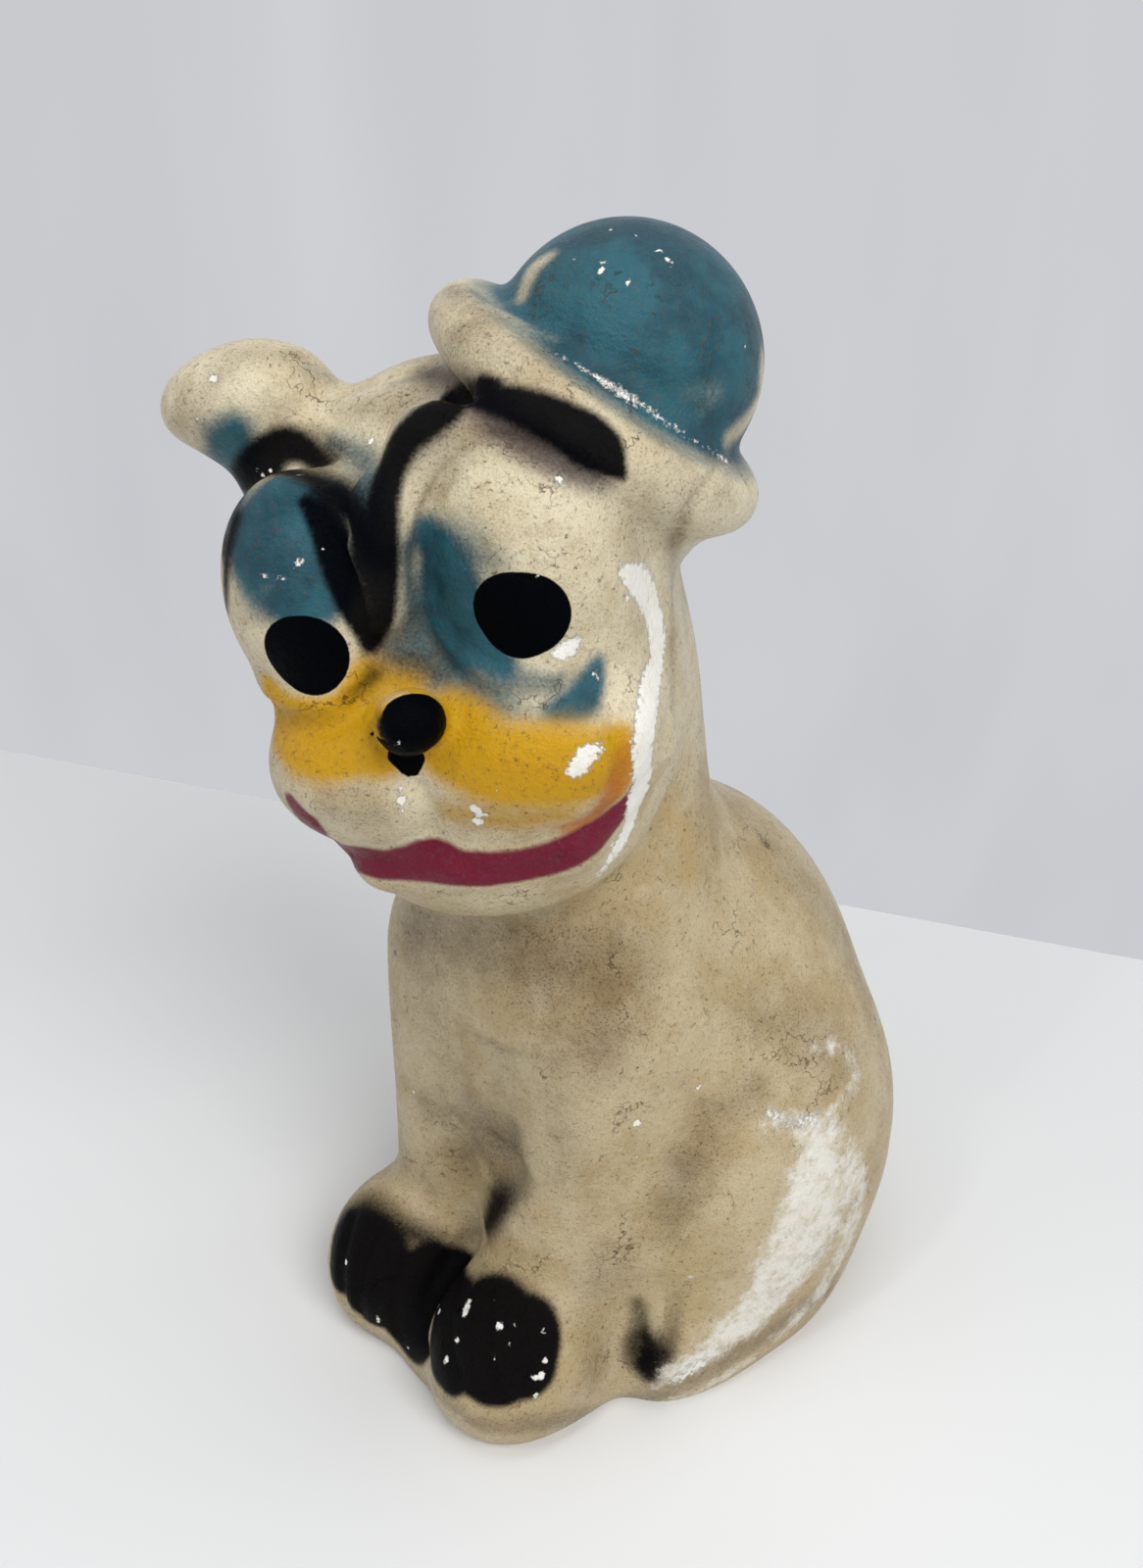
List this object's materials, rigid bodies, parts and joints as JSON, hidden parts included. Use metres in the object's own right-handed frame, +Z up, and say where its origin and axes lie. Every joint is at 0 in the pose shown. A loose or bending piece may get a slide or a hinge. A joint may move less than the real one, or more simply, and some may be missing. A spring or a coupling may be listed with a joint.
{
  "type": "chalkware figure",
  "caption": "Hollow plaster figure of a seated pup in a tilted bowler hat, its head cocked to one side, that stands on its open base",
  "frame": {"origin": "middle of the bounding box's foot: the base stands on Z = 0, and X = 0 and Y = 0 are the middles of the width and the depth", "axes": "+Z up, -Y the side that the face looks to, +X the viewer's right from the front"},
  "size_m": [0.1554, 0.1477, 0.255],
  "materials": {
    "painted_plaster": "cast plaster of Paris, sprayed and brushed with matt paint over size, worn",
    "bare_plaster": "cast plaster of Paris, thinly sized, toned by dirt",
    "slip": "brushed plaster slip, bare and rough"
  },
  "bodies": {
    "root": {"front_shell": "painted_plaster", "back_shell": "bare_plaster", "left_lute": "slip", "right_lute": "slip"}
  },
  "joints": []
}
